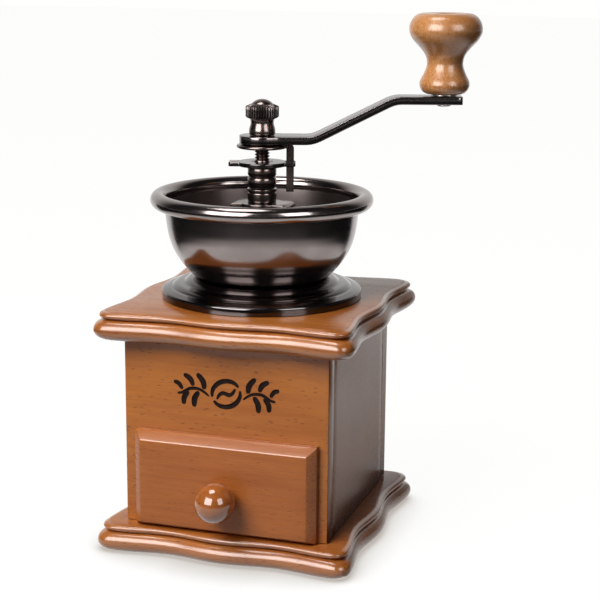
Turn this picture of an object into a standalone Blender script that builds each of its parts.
"""A hand-cranked burr coffee grinder: a wooden box with a drawer, a metal hopper bowl and a crank.

Metres, +Z up. The origin is the centre of the base board's underside, and -Y is the drawer's side.
"""

from math import cos, pi, radians, sin, sqrt

import bmesh
import bpy
from mathutils import Matrix, Vector

MM = 0.001
GAP = 0.3 * MM  # clearance kept between two pieces that touch

# Boards and box
BOARD = 131 * MM  # side of both boards over the lip
BOARD_T = 14 * MM
BOARD_CORNER = 7 * MM
WAVE = 1.4 * MM  # the boards' edges run in and out by this much either way
BOX_W = 104 * MM
BOX_D = 107 * MM
BOX_H = 93.6 * MM
WALL = 9 * MM
BOX_BOTTOM = BOARD_T
BOX_TOP = BOX_BOTTOM + BOX_H
DECK = BOX_TOP + BOARD_T  # top of the top board

# Screws and dowels in the side panels' ends
DOWEL_HOLE_R = 3.3 * MM
SCREW_HOLE_R = 2.3 * MM
FIXING_SETBACK = 25 * MM  # from the box's front and back to each screw and dowel

# Drawer
DRAWER_SHIFT = 0.8 * MM  # the drawer sits this much to the right of the middle
NOTCH_W = 80.4 * MM
NOTCH_TOP = 56 * MM
DRAWER_W = 79.2 * MM
DRAWER_TOP = 54 * MM
DRAWER_BACK = 38 * MM
DRAWER_WALL = 5 * MM
DRAWER_FLOOR_T = 3 * MM
FRONT_W, FRONT_LOW, FRONT_HIGH = 93.2 * MM, 14.5 * MM, 63.2 * MM
FACE_W, FACE_LOW, FACE_HIGH = 85.2 * MM, 16.6 * MM, 58.8 * MM
FRONT_RIM_T = 3.4 * MM  # thickness of the drawer front at its edge, before the bevel
FRONT_T = 7.2 * MM
KNOB_Z = 34.5 * MM

# Bowl, skirt and burrs
BOLT_CIRCLE = 26.5 * MM  # radius on which the four long bolts stand
BOLT_R = 2.0 * MM
BOLT_HOLE_R = 2.4 * MM
BURR_HOLE_R = 22.2 * MM
SKIRT_FLANGE = 131.0 * MM  # underside of the skirt's inner flange
BOWL_FLOOR = 132.5 * MM  # underside of the bowl's floor
BURR_FLANGE = 134.0 * MM  # underside of the outer burr's flange
BURR_FLANGE_T = 2.6 * MM
FOOT = BURR_FLANGE + BURR_FLANGE_T + GAP  # underside of the bridge's feet
BRIDGE_T = 2.0 * MM
BRIDGE_TOP = 169.0 * MM
BRIDGE_HALF = 8.0 * MM  # half the width of the strip
BRIDGE_PLATE_R = 11.3 * MM  # the round plate that the strip widens to under the bearing

# Spindle stack
SHAFT_R = 3.6 * MM
BORE_R = 3.9 * MM
CRANK_ANGLE = radians(17.7)  # where the crank stands at rest, from +X
DISC_LOW, DISC_HIGH, DISC_R = 187.3 * MM, 189.4 * MM, 12.1 * MM
DISC_BORE_R = 5.3 * MM
EAR_REACH, EAR_HALF = 16.6 * MM, 4.6 * MM
SLOT_FLOOR, SLOT_HALF = 11.5 * MM, 1.9 * MM  # the slot in each ear, open outwards
PLATE_LOW, PLATE_HIGH, PLATE_R = 196.1 * MM, 198.3 * MM, 12.7 * MM
TAB_IN, TAB_OUT = 12.0 * MM, 15.8 * MM
TAB_HALF, TAB_LOW = 1.5 * MM, 174.4 * MM
ARM_T = 3.8 * MM
ARM_LOW = 198.6 * MM  # underside of the arm at its eye
ARM_RISE = 20.0 * MM  # how much higher the arm's outer end is
ARM_EYE_R = 11.3 * MM
NECK_HALF, END_HALF, END_CORNER = 9.0 * MM, 7.4 * MM, 2.2 * MM
ARM_TIP = 98.2 * MM
RAMP_START, RAMP_END, RAMP_EASE = 21.5 * MM, 68.5 * MM, 7 * MM
KNOB_REACH = 89.4 * MM  # from the spindle to the handle's axis
KNOB_BOTTOM = 223.7 * MM


def clear_scene():
    for obj in list(bpy.data.objects):
        bpy.data.objects.remove(obj, do_unlink=True)


def finish_material(name, colour, roughness, metallic):
    material = bpy.data.materials.new(name)
    material.use_nodes = True
    shader = material.node_tree.nodes["Principled BSDF"]
    shader.inputs["Base Color"].default_value = (*colour, 1)
    shader.inputs["Roughness"].default_value = roughness
    shader.inputs["Metallic"].default_value = metallic
    return material


FINISHES = {
    "beech": ((0.36, 0.15, 0.05), 0.35, 0.0),
    "beech_front": ((0.29, 0.11, 0.045), 0.35, 0.0),
    "pale_wood": ((0.55, 0.38, 0.22), 0.6, 0.0),
    "handle_wood": ((0.40, 0.19, 0.07), 0.4, 0.0),
    "black_nickel": ((0.12, 0.10, 0.09), 0.2, 1.0),
    "cast_burr": ((0.20, 0.19, 0.18), 0.5, 1.0),
    "bright_steel": ((0.55, 0.54, 0.52), 0.3, 1.0),
}


def make(name, shape, finish, parent=None):
    """Turn a bmesh into one named object with a material of its own."""
    mesh = bpy.data.meshes.new(name)
    bmesh.ops.remove_doubles(shape, verts=shape.verts, dist=1e-7)
    bmesh.ops.recalc_face_normals(shape, faces=shape.faces)
    shape.to_mesh(mesh)
    shape.free()
    mesh.shade_smooth()
    mesh.set_sharp_from_angle(angle=radians(35))
    obj = bpy.data.objects.new(name, mesh)
    bpy.context.scene.collection.objects.link(obj)
    mesh.materials.append(finish_material(name + "_finish", *FINISHES[finish]))
    obj.parent = parent
    return obj


def combine(obj, shape, name, operation):
    """Run a Boolean between an object and a bmesh, which stays in the scene as a hidden wire frame."""
    mesh = bpy.data.meshes.new(name)
    bmesh.ops.recalc_face_normals(shape, faces=shape.faces)
    shape.to_mesh(mesh)
    shape.free()
    tool = bpy.data.objects.new(name, mesh)
    bpy.context.scene.collection.objects.link(tool)
    tool.parent = obj.parent
    tool.hide_render = True
    tool.display_type = "WIRE"
    boolean = obj.modifiers.new(operation.lower(), "BOOLEAN")
    boolean.operation = operation
    boolean.solver = "EXACT"
    boolean.object = tool


def cut(obj, shape):
    combine(obj, shape, obj.name + "_cutter", "DIFFERENCE")


def fuse(obj, shape):
    combine(obj, shape, obj.name + "_addition", "UNION")


def empty(name, place=(0, 0, 0), turn=0.0, parent=None):
    """The pivot of a moving group."""
    obj = bpy.data.objects.new(name, None)
    bpy.context.scene.collection.objects.link(obj)
    obj.location = place
    obj.rotation_euler.z = turn
    obj.parent = parent
    return obj


def block(shape, x, y, z):
    """Add a box between the two values given on each axis."""
    size = Vector((x[1] - x[0], y[1] - y[0], z[1] - z[0]))
    middle = Vector((sum(x), sum(y), sum(z))) / 2
    place = Matrix.Translation(middle) @ Matrix.Diagonal((*size, 1))
    bmesh.ops.create_cube(shape, size=1, matrix=place)


def panel(name, x, y, z, finish, parent=None):
    shape = bmesh.new()
    block(shape, x, y, z)
    return make(name, shape, finish, parent)


def rod(shape, radius, low, high, at=(0, 0), sides=16):
    """Add an upright cylinder."""
    middle = Matrix.Translation((*at, (low + high) / 2))
    bmesh.ops.create_cone(
        shape, cap_ends=True, segments=sides, radius1=radius, radius2=radius,
        depth=high - low, matrix=middle,
    )


def turned(shape, profile, steps=32, at=(0, 0)):
    """Spin a closed profile of (radius, height) in millimetres once round the Z axis."""
    ring = [shape.verts.new((r * MM, 0, z * MM)) for r, z in profile]
    edges = [shape.edges.new((a, b)) for a, b in zip(ring, ring[1:] + ring[:1])
             if a.co.x > 0 or b.co.x > 0]
    bmesh.ops.spin(
        shape, geom=ring + edges, axis=(0, 0, 1), cent=(0, 0, 0),
        angle=2 * pi, steps=steps, use_merge=True,
    )
    bmesh.ops.remove_doubles(shape, verts=shape.verts, dist=1e-7)
    if at != (0, 0):
        bmesh.ops.translate(shape, verts=shape.verts, vec=(*at, 0))


def lathe(name, profile, finish, parent=None, steps=32, at=(0, 0)):
    shape = bmesh.new()
    turned(shape, profile, steps, at)
    return make(name, shape, finish, parent)


def join(shape, other):
    """Move all of another bmesh into this one."""
    mesh = bpy.data.meshes.new("joined")
    other.to_mesh(mesh)
    other.free()
    shape.from_mesh(mesh)
    bpy.data.meshes.remove(mesh)


def loft(shape, rings):
    """Join rings of as many points each with quads, and close both ends."""
    rows = [[shape.verts.new(point) for point in ring] for ring in rings]
    for low, high in zip(rows, rows[1:]):
        for i in range(len(low)):
            j = (i + 1) % len(low)
            shape.faces.new((low[i], low[j], high[j], high[i]))
    shape.faces.new(rows[0][::-1])
    shape.faces.new(rows[-1])


def hex_nut(name, across_flats, bore, low, high, finish, parent=None, at=(0, 0)):
    """Six flat sides outside and inside: bore is the radius that the hole's flats clear."""
    corner = across_flats / 2 / cos(pi / 6)
    hole = bore / cos(pi / 6)
    profile = [(hole, low), (corner, low), (corner, high), (hole, high)]
    lathe(name, profile, finish, parent, 6, at)


def arc(centre, radius, start, end, steps):
    """Points of an arc in degrees, both ends included."""
    angles = [radians(start + (end - start) * i / steps) for i in range(steps + 1)]
    return [(centre[0] + radius * cos(a), centre[1] + radius * sin(a)) for a in angles]


def on_circle(radius, degrees):
    return radius * cos(radians(degrees)), radius * sin(radians(degrees))


# The wooden box

def board_outline(inset, side_steps=8, corner_steps=3):
    """A square with round corners whose sides wave in and out twice, seen from above."""
    half = BOARD / 2 - inset
    straight = half - BOARD_CORNER
    points = []
    for quarter in range(4):
        turn = Matrix.Rotation(quarter * pi / 2, 2)
        for i in range(side_steps):
            along = -straight + 2 * straight * i / side_steps
            wave = WAVE * (cos(2 * pi * along / straight) - 1)
            points.append(turn @ Vector((half + wave, along)))
        for x, y in arc((straight, straight), BOARD_CORNER, 0, 90, corner_steps)[:-1]:
            points.append(turn @ Vector((x, y)))
    return points


def board(name, low, holes):
    """A board whose edge is a half-round lip with a groove and a thin bead over it."""
    edge = [(4.0, 0), (1.0, 1.6), (0, 4.8), (1.2, 8.6), (4.2, 10.2), (2.3, 11.9), (3.6, 14)]
    rings = [[(*p, low + z * MM) for p in board_outline(inset * MM)] for inset, z in edge]
    shape = bmesh.new()
    loft(shape, rings)
    obj = make(name, shape, "beech")
    cut(obj, holes)
    return obj


def fixing_places():
    """Where the base screws and the top dowels stand in the side panels' ends."""
    x = BOX_W / 2 - WALL / 2
    y = BOX_D / 2 - FIXING_SETBACK
    return [(x, y), (-x, y), (-x, -y), (x, -y)]


COUNTERSUNK_HOLE = [(0, -1), (4.4, -1), (4.4, 1.7), (2.3, 4.3), (2.3, 15), (0, 15)]


def base_board():
    holes = bmesh.new()
    for at in fixing_places():
        sunk = bmesh.new()
        turned(sunk, COUNTERSUNK_HOLE, 12, at)
        join(holes, sunk)
    board("base_board", 0, holes)


def top_board():
    holes = bmesh.new()
    rod(holes, BURR_HOLE_R, BOX_TOP - 1 * MM, DECK + 1 * MM, sides=40)
    for i in range(4):
        rod(holes, BOLT_HOLE_R, BOX_TOP - 1 * MM, DECK + 1 * MM, on_circle(BOLT_CIRCLE, 90 * i), 12)
    for at in fixing_places():
        rod(holes, DOWEL_HOLE_R, BOX_TOP - 1 * MM, BOX_TOP + 10 * MM, at, 12)
    board("top_board", BOX_TOP, holes)


def box_walls():
    z = (BOX_BOTTOM + GAP, BOX_TOP - GAP)
    half, depth = BOX_W / 2, BOX_D / 2
    front = panel("front_panel", (-half, half), (-depth, -depth + WALL), z, "beech")
    notch = bmesh.new()
    sides = (DRAWER_SHIFT - NOTCH_W / 2, DRAWER_SHIFT + NOTCH_W / 2)
    block(notch, sides, (-depth - WALL, -depth + 2 * WALL), (0, NOTCH_TOP))
    cut(front, notch)
    panel("back_panel", (-half, half), (depth - WALL, depth), z, "beech")
    inner = depth - WALL - GAP
    for name, side in (("left_panel", -1), ("right_panel", 1)):
        x = sorted((side * half, side * (half - WALL)))
        wall = panel(name, x, (-inner, inner), z, "beech")
        holes = bmesh.new()
        for at in fixing_places():
            if at[0] * side > 0:
                rod(holes, SCREW_HOLE_R, 0, 34 * MM, at, 12)
                rod(holes, DOWEL_HOLE_R, BOX_TOP - 12 * MM, DECK, at, 12)
        cut(wall, holes)


def drawer_guides():
    """Two strips beside the drawer that keep it straight."""
    y = (-BOX_D / 2 + WALL + GAP, BOX_D / 2 - WALL - GAP)
    z = (BOX_BOTTOM + GAP, BOX_BOTTOM + 12 * MM)
    inner_wall = BOX_W / 2 - WALL - GAP
    left = DRAWER_SHIFT - DRAWER_W / 2 - 0.6 * MM
    right = DRAWER_SHIFT + DRAWER_W / 2 + 0.6 * MM
    panel("drawer_guide_left", (-inner_wall, left), y, z, "pale_wood")
    panel("drawer_guide_right", (right, inner_wall), y, z, "pale_wood")


def box_fixings():
    for i, at in enumerate(fixing_places(), 1):
        profile = [
            (0, 0.6), (4.0, 0.6), (4.0, 1.4), (2.0, 3.9), (2.0, 30), (0.4, 33), (0, 33),
        ]
        lathe(f"base_screw_{i}", profile, "bright_steel", steps=12, at=at)
        dowel = [
            (0, 96.6), (2.4, 96.6), (3.0, 97.4), (3.0, 116.2), (2.4, 117.0), (0, 117.0),
        ]
        lathe(f"top_dowel_{i}", dowel, "pale_wood", steps=12, at=at)


# The drawer

def rectangle(width, low, high, y):
    half = width / 2
    corners = ((-half, low), (half, low), (half, high), (-half, high))
    return [(x, y, z) for x, z in corners]


def drawer():
    """Everything here is placed from the drawer's empty, in the middle of the front panel's foot."""
    origin_y = -BOX_D / 2
    pivot = empty("drawer_slide_axis", (DRAWER_SHIFT, origin_y, 0))
    shape = bmesh.new()
    loft(shape, [
        rectangle(FACE_W, FACE_LOW, FACE_HIGH, -FRONT_T),
        rectangle(FRONT_W, FRONT_LOW, FRONT_HIGH, -FRONT_RIM_T - GAP),
        rectangle(FRONT_W, FRONT_LOW, FRONT_HIGH, -GAP),
    ])
    front = make("drawer_front", shape, "beech_front", pivot)
    hole = bmesh.new()
    bmesh.ops.create_cone(
        hole, cap_ends=True, segments=12, radius1=2.2 * MM, radius2=2.2 * MM, depth=40 * MM,
        matrix=Matrix.Translation((0, 0, KNOB_Z)) @ Matrix.Rotation(pi / 2, 4, "X"),
    )
    cut(front, hole)

    half = DRAWER_W / 2
    floor_low = BOX_BOTTOM + 1.0 * MM
    floor_high = floor_low + DRAWER_FLOOR_T
    back = DRAWER_BACK - origin_y
    length = (0, back)
    height = (floor_low, DRAWER_TOP)
    inside = half - DRAWER_WALL
    panel("drawer_side_left", (-half, -inside), length, height, "pale_wood", pivot)
    panel("drawer_side_right", (inside, half), length, height, "pale_wood", pivot)
    between = (-inside + GAP, inside - GAP)
    panel("drawer_back", between, (back - DRAWER_WALL, back), height, "pale_wood", pivot)
    panel(
        "drawer_floor", between, (0, back - DRAWER_WALL - GAP), (floor_low, floor_high),
        "pale_wood", pivot,
    )

    # The knob and its screw are turned along Z and then laid over to point at -Y.
    lay = Matrix.Translation((0, 0, KNOB_Z)) @ Matrix.Rotation(pi / 2, 4, "X")
    front_face = FRONT_T / MM + 0.3
    ball = arc((0, front_face + 9.4), 9.9, -48, 90, 7)
    knob_profile = (
        [(0, front_face + 12), (2.3, front_face + 12), (2.3, front_face), (6.0, front_face)]
        + [(5.4, front_face + 1.2)] + ball[:-1] + [(0, ball[-1][1])]
    )
    screw_profile = [
        (0, -3.2), (3.2, -3.2), (3.8, -2.0), (3.8, 0), (1.9, 0),
        (1.9, front_face + 11), (0, front_face + 11),
    ]
    for name, profile, finish, steps in (
        ("drawer_knob", knob_profile, "beech_front", 20),
        ("drawer_knob_screw", screw_profile, "bright_steel", 12),
    ):
        shape = bmesh.new()
        turned(shape, profile, steps)
        bmesh.ops.transform(shape, matrix=lay, verts=shape.verts)
        make(name, shape, finish, pivot)


# The hopper and the fixed burr

def bolt_holes(low, high):
    holes = bmesh.new()
    for i in range(4):
        rod(holes, BOLT_HOLE_R, low, high, on_circle(BOLT_CIRCLE, 90 * i), 12)
    return holes


def skirt_ring():
    """The stepped metal ring between the top board and the bowl, open underneath."""
    profile = [
        (50.2, 121.9), (50.2, 125.4), (49.4, 126.9), (47.6, 127.6), (44.6, 127.3), (42.4, 128.8),
        (38.4, 129.4), (36.2, 131.6), (33.4, 132.2), (22.4, 132.2), (22.4, 131.0), (33.0, 131.0),
        (35.6, 130.4), (37.8, 128.2), (42.0, 127.6), (44.4, 126.0), (48.6, 125.6), (49.0, 121.9),
    ]
    ring = lathe("skirt_ring", profile, "black_nickel", steps=36)
    cut(ring, bolt_holes(SKIRT_FLANGE - 5 * MM, BOWL_FLOOR))


def hopper_bowl():
    """A thin bowl with a rolled rim and a hole in its floor for the burr."""
    outside = [
        (22.2, 132.5), (32.4, 132.5), (34.8, 133.4), (39.8, 138.7), (44.0, 145.6), (47.2, 155.6),
        (48.4, 165.0), (48.9, 168.4),
    ]
    rim = arc((51.6, 170.7), 3.1, 220, 490, 7)
    inside = [(max(r - 1.3, 22.2), z + (1.2 if r < 40 else 0.5)) for r, z in reversed(outside[:-1])]
    bowl = lathe("hopper_bowl", outside + rim + inside, "black_nickel", steps=36)
    cut(bowl, bolt_holes(128 * MM, 136 * MM))


def toothed(shape, rows, teeth, depth, twist, steps):
    """A turned shape whose rows of (radius, height, tooth) carry slanting teeth where tooth is 1."""
    rings = []
    for radius, height, tooth in rows:
        ring = []
        for i in range(steps):
            angle = 2 * pi * i / steps
            phase = (angle + twist * height) * teeth / (2 * pi)
            ramp = phase - int(phase // 1)
            r = radius + tooth * depth * (ramp - 0.5)
            ring.append((r * cos(angle) * MM, r * sin(angle) * MM, height * MM))
        rings.append(ring)
    rows_of_verts = [[shape.verts.new(p) for p in ring] for ring in rings]
    for low, high in zip(rows_of_verts, rows_of_verts[1:] + rows_of_verts[:1]):
        for i in range(steps):
            j = (i + 1) % steps
            shape.faces.new((low[i], low[j], high[j], high[i]))


def burrs(spindle):
    """The fixed ring burr and the cone that turns in it: the way between them narrows downwards."""
    ring = bmesh.new()
    rows = [
        (21.5, 108.0, 0), (21.5, 134.0, 0), (30.6, 134.0, 0), (30.6, 136.6, 0), (16.6, 136.6, 0),
        (16.2, 132.0, 1), (16.8, 126.0, 1), (17.6, 118.0, 1), (18.6, 110.0, 1), (19.0, 108.0, 0),
    ]
    toothed(ring, rows, teeth=16, depth=0.9, twist=0.03, steps=32)
    outer = make("outer_burr", ring, "cast_burr")
    cut(outer, bolt_holes(128 * MM, 143 * MM))

    cone = bmesh.new()
    rows = [
        (3.9, 107.5, 0), (16.8, 107.5, 0), (17.2, 109.5, 1), (15.6, 116.0, 1), (13.2, 124.0, 1),
        (10.6, 132.0, 1), (8.6, 139.0, 1), (6.8, 145.0, 0), (6.8, 148.0, 0), (3.9, 148.0, 0),
    ]
    toothed(cone, rows, teeth=12, depth=0.9, twist=-0.04, steps=24)
    make("inner_burr", cone, "cast_burr", spindle)


def bridge():
    """A strip bent into an arch over the burr, with a round top that carries the spindle's bearing."""
    half_span, foot_end = 15.0, 31.0
    top, low = BRIDGE_TOP / MM, FOOT / MM
    t = BRIDGE_T / MM
    outer = [(half_span, low + 1), (half_span, top - 2.4), (half_span - 1.0, top - 0.7),
             (half_span - 2.6, top)]
    inner = [(half_span - t, low), (half_span - t, top - 3), (half_span - 3.2, top - t)]
    right = [(foot_end, low), (foot_end, low + t), (half_span + 1.4, low + t)] + outer
    side = [(half_span - 0.6, low)] + inner[1:]
    outline = right + [(-x, z) for x, z in reversed(right)]
    outline += [(-x, z) for x, z in side] + list(reversed(side))
    shape = bmesh.new()
    corners = [shape.verts.new((x * MM, -BRIDGE_HALF, z * MM)) for x, z in outline]
    face = shape.faces.new(corners)
    pulled = bmesh.ops.extrude_face_region(shape, geom=[face])
    moved = [v for v in pulled["geom"] if isinstance(v, bmesh.types.BMVert)]
    bmesh.ops.translate(shape, verts=moved, vec=(0, 2 * BRIDGE_HALF, 0))
    strip = make("bridge", shape, "black_nickel")
    plate = bmesh.new()
    rod(plate, BRIDGE_PLATE_R, BRIDGE_TOP - BRIDGE_T, BRIDGE_TOP, sides=32)
    fuse(strip, plate)
    holes = bolt_holes(FOOT - 1 * MM, FOOT + 6 * MM)
    rod(holes, DISC_BORE_R, BRIDGE_TOP - 6 * MM, BRIDGE_TOP + 2 * MM, sides=16)
    cut(strip, holes)
    bushing = [
        (3.9, 165.6), (5.0, 165.6), (5.0, 169.3), (7.2, 169.3), (7.2, 173.8), (6.9, 174.3),
        (3.9, 174.3),
    ]
    lathe("bridge_bushing", bushing, "black_nickel", steps=24)


def long_bolts():
    """Four bolts hold the bridge, the burr, the bowl and the skirt down on the top board."""
    for i in range(4):
        at = on_circle(BOLT_CIRCLE, 90 * i)
        seat = FOOT / MM + (BRIDGE_T / MM + 0.3 if i % 2 == 0 else 0)
        bolt = [
            (0, 101.8), (2.0, 101.8), (2.0, seat), (3.6, seat), (3.6, seat + 1.6),
            (2.6, seat + 2.5), (0, seat + 2.8),
        ]
        lathe(f"mount_bolt_{i + 1}", bolt, "black_nickel", steps=12, at=at)
        washer = [(2.3, 106.5), (4.6, 106.5), (4.6, 107.3), (2.3, 107.3)]
        lathe(f"mount_washer_{i + 1}", washer, "bright_steel", steps=16, at=at)
        hex_nut(f"mount_nut_{i + 1}", 7.0, 2.3, 103.0, 106.2, "bright_steel", at=at)


# What turns with the crank

def burr_spring(parent):
    """A coil that keeps the cone pushed down, drawn as one round wire on a helix."""
    low, high, turns, radius, wire = 148.9, 164.7, 4, 6.0, 0.6
    per_turn, sides = 10, 5
    rings = []
    for i in range(turns * per_turn + 1):
        angle = 2 * pi * i / per_turn
        z = low + (high - low) * i / (turns * per_turn)
        ring = []
        for j in range(sides):
            around = 2 * pi * j / sides
            r = radius + wire * cos(around)
            ring.append((r * cos(angle) * MM, r * sin(angle) * MM, (z + wire * sin(around)) * MM))
        rings.append(ring)
    shape = bmesh.new()
    loft(shape, rings)
    make("burr_spring", shape, "bright_steel", parent)


def adjuster_stack(pivot):
    lathe("thrust_washer", [(3.9, 174.6), (7.4, 174.6), (7.4, 176.0), (3.9, 176.0)],
          "black_nickel", pivot, 20)
    nut = [
        (3.9, 176.3), (6.7, 176.3), (6.7, 178.2), (7.2, 178.6), (7.2, 181.3), (6.7, 182.0),
        (7.2, 182.7), (7.2, 187.0), (5.0, 187.0), (5.0, 189.5), (3.9, 189.5),
    ]
    lathe("adjusting_nut", nut, "black_nickel", pivot, 20)
    shape = bmesh.new()
    rod(shape, DISC_R, DISC_LOW, DISC_HIGH, sides=32)
    disc = make("adjusting_disc", shape, "black_nickel", pivot)
    ears = bmesh.new()
    block(ears, (-EAR_REACH, EAR_REACH), (-EAR_HALF, EAR_HALF), (DISC_LOW, DISC_HIGH))
    fuse(disc, ears)
    through = (DISC_LOW - 1 * MM, DISC_HIGH + 1 * MM)
    slots = bmesh.new()
    rod(slots, DISC_BORE_R, *through, sides=20)
    for side in (-1, 1):
        x = sorted((side * SLOT_FLOOR, side * (EAR_REACH + 1 * MM)))
        block(slots, x, (-SLOT_HALF, SLOT_HALF), through)
    cut(disc, slots)


def lock_plate(pivot):
    """A round plate under the arm, with a long tab bent down through the disc's forked ear."""
    shape = bmesh.new()
    rod(shape, PLATE_R, PLATE_LOW, PLATE_HIGH, sides=32)
    plate = make("lock_plate", shape, "black_nickel", pivot)
    root, bend = 8 * MM, 1.8 * MM
    bent = [
        (root, PLATE_LOW), (TAB_IN, PLATE_LOW), (TAB_IN, TAB_LOW), (TAB_OUT, TAB_LOW),
        (TAB_OUT, PLATE_HIGH - bend), (TAB_OUT - bend / 3, PLATE_HIGH - bend / 3),
        (TAB_OUT - bend, PLATE_HIGH), (root, PLATE_HIGH),
    ]
    tab = bmesh.new()
    loft(tab, [[(x, y, z) for x, z in bent] for y in (-TAB_HALF, TAB_HALF)])
    fuse(plate, tab)
    bore = bmesh.new()
    rod(bore, BORE_R, PLATE_LOW - 1 * MM, PLATE_HIGH + 1 * MM, sides=20)
    cut(plate, bore)


def arm_height(u):
    """How far the arm has risen at a distance u from the spindle: flat, then a ramp, then flat."""
    t = (u - RAMP_START) / (RAMP_END - RAMP_START)
    if t <= 0:
        return 0.0
    if t >= 1:
        return ARM_RISE
    e = RAMP_EASE / (RAMP_END - RAMP_START)
    slope = 1 / (1 - e)
    if t < e:
        return ARM_RISE * slope * t * t / (2 * e)
    if t > 1 - e:
        return ARM_RISE * (1 - slope * (1 - t) ** 2 / (2 * e))
    return ARM_RISE * slope * (t - e / 2)


def arm_half_width(u):
    """Half the arm's width: the round eye, a slow taper, and a square end with round corners."""
    eye = sqrt(max(ARM_EYE_R ** 2 - u * u, 0))
    taper = NECK_HALF + (END_HALF - NECK_HALF) * max(u, 0) / KNOB_REACH
    past = u - (ARM_TIP - END_CORNER)
    if past > 0:
        taper += sqrt(max(END_CORNER ** 2 - past ** 2, 0)) - END_CORNER
    return max(eye, taper if u > 0 else 1.2 * MM)


def crank_arm(pivot):
    stations = [-ARM_EYE_R * cos(radians(a)) for a in (6, 25, 45, 65, 85)]
    stations += [6 * MM, 12 * MM]
    stations += [RAMP_START + RAMP_EASE * share for share in (0, 0.5, 1)]
    stations += [(RAMP_START * (1 - share) + RAMP_END * share) for share in (0.4, 0.6)]
    stations += [RAMP_END - RAMP_EASE * share for share in (1, 0.5, 0)]
    stations += [80 * MM, 90 * MM]
    stations += [ARM_TIP - END_CORNER * share for share in (1, 0.6, 0.25, 0)]
    rings = []
    for u in stations:
        half = arm_half_width(u)
        lean = (arm_height(u + 1e-5) - arm_height(u - 1e-5)) / 2e-5
        normal = Vector((-lean, 0, 1)).normalized() * ARM_T / 2
        middle = Vector((u, 0, ARM_LOW + ARM_T / 2 + arm_height(u)))
        side = Vector((0, half, 0))
        rings.append([middle - side - normal, middle + side - normal,
                      middle + side + normal, middle - side + normal])
    shape = bmesh.new()
    loft(shape, rings)
    arm = make("crank_arm", shape, "black_nickel", pivot)
    holes = bmesh.new()
    rod(holes, BORE_R, ARM_LOW - 5 * MM, ARM_LOW + 8 * MM, sides=20)
    rod(holes, 2.7 * MM, 213 * MM, 228 * MM, (KNOB_REACH, 0), 12)
    cut(arm, holes)


def spindle_stack(pivot):
    lathe("spindle", [(0, 99.0), (3.0, 99.0), (3.6, 99.8), (3.6, 215.5), (0, 215.5)],
          "black_nickel", pivot, 20)
    lathe("burr_washer", [(3.9, 105.4), (8.0, 105.4), (8.0, 107.2), (3.9, 107.2)],
          "bright_steel", pivot, 20)
    hex_nut("burr_nut", 12.0, 3.9, 100.6, 105.1, "bright_steel", pivot)
    cap = [
        (3.9, 202.7), (6.5, 202.7), (6.5, 205.0), (5.7, 207.8), (6.3, 210.8), (8.25, 211.8),
        (8.25, 216.7), (5.9, 217.8), (5.3, 218.3), (3.4, 219.8), (0, 220.3), (0, 215.9),
        (3.9, 215.9),
    ]
    lathe("cap_nut", cap, "black_nickel", pivot, 24)
    crank_arm(pivot)
    lock_plate(pivot)


def crank_handle(spindle):
    """The turned wooden knob runs on a long screw that is riveted to the arm's end."""
    at = (KNOB_REACH, 0)
    screw = [
        (0, 217.2), (2.6, 217.2), (3.4, 217.7), (3.4, 218.3), (2.4, 218.3), (2.4, 258.0),
        (4.3, 258.0), (4.3, 259.6), (3.4, 260.6), (0, 260.9),
    ]
    lathe("handle_screw", screw, "bright_steel", spindle, 16, at)
    washer = [(2.8, 222.7), (6.4, 222.7), (6.4, 223.4), (2.8, 223.4)]
    lathe("handle_washer", washer, "bright_steel", spindle, 20, at)
    turning = empty("handle_spin_axis", (KNOB_REACH, 0, KNOB_BOTTOM), parent=spindle)
    knob = [
        (2.8, 0), (8.8, 0), (11.4, 2.2), (12.35, 4.6), (10.9, 8.4), (8.9, 13.4), (9.3, 17.6),
        (12.8, 22.6), (16.6, 26.8), (17.9, 30.8), (16.8, 35.4), (12.6, 38.8), (5.4, 38.8),
        (5.4, 34.0), (2.8, 34.0),
    ]
    lathe("handle_knob", knob, "handle_wood", turning, 24)


def main():
    clear_scene()
    base_board()
    top_board()
    box_walls()
    drawer_guides()
    box_fixings()
    drawer()
    skirt_ring()
    hopper_bowl()
    bridge()
    long_bolts()
    crank = empty("crank_turn_axis", turn=CRANK_ANGLE)
    spindle = empty("grind_adjust_axis", parent=crank)
    burrs(spindle)
    burr_spring(crank)
    adjuster_stack(crank)
    spindle_stack(spindle)
    crank_handle(spindle)


main()
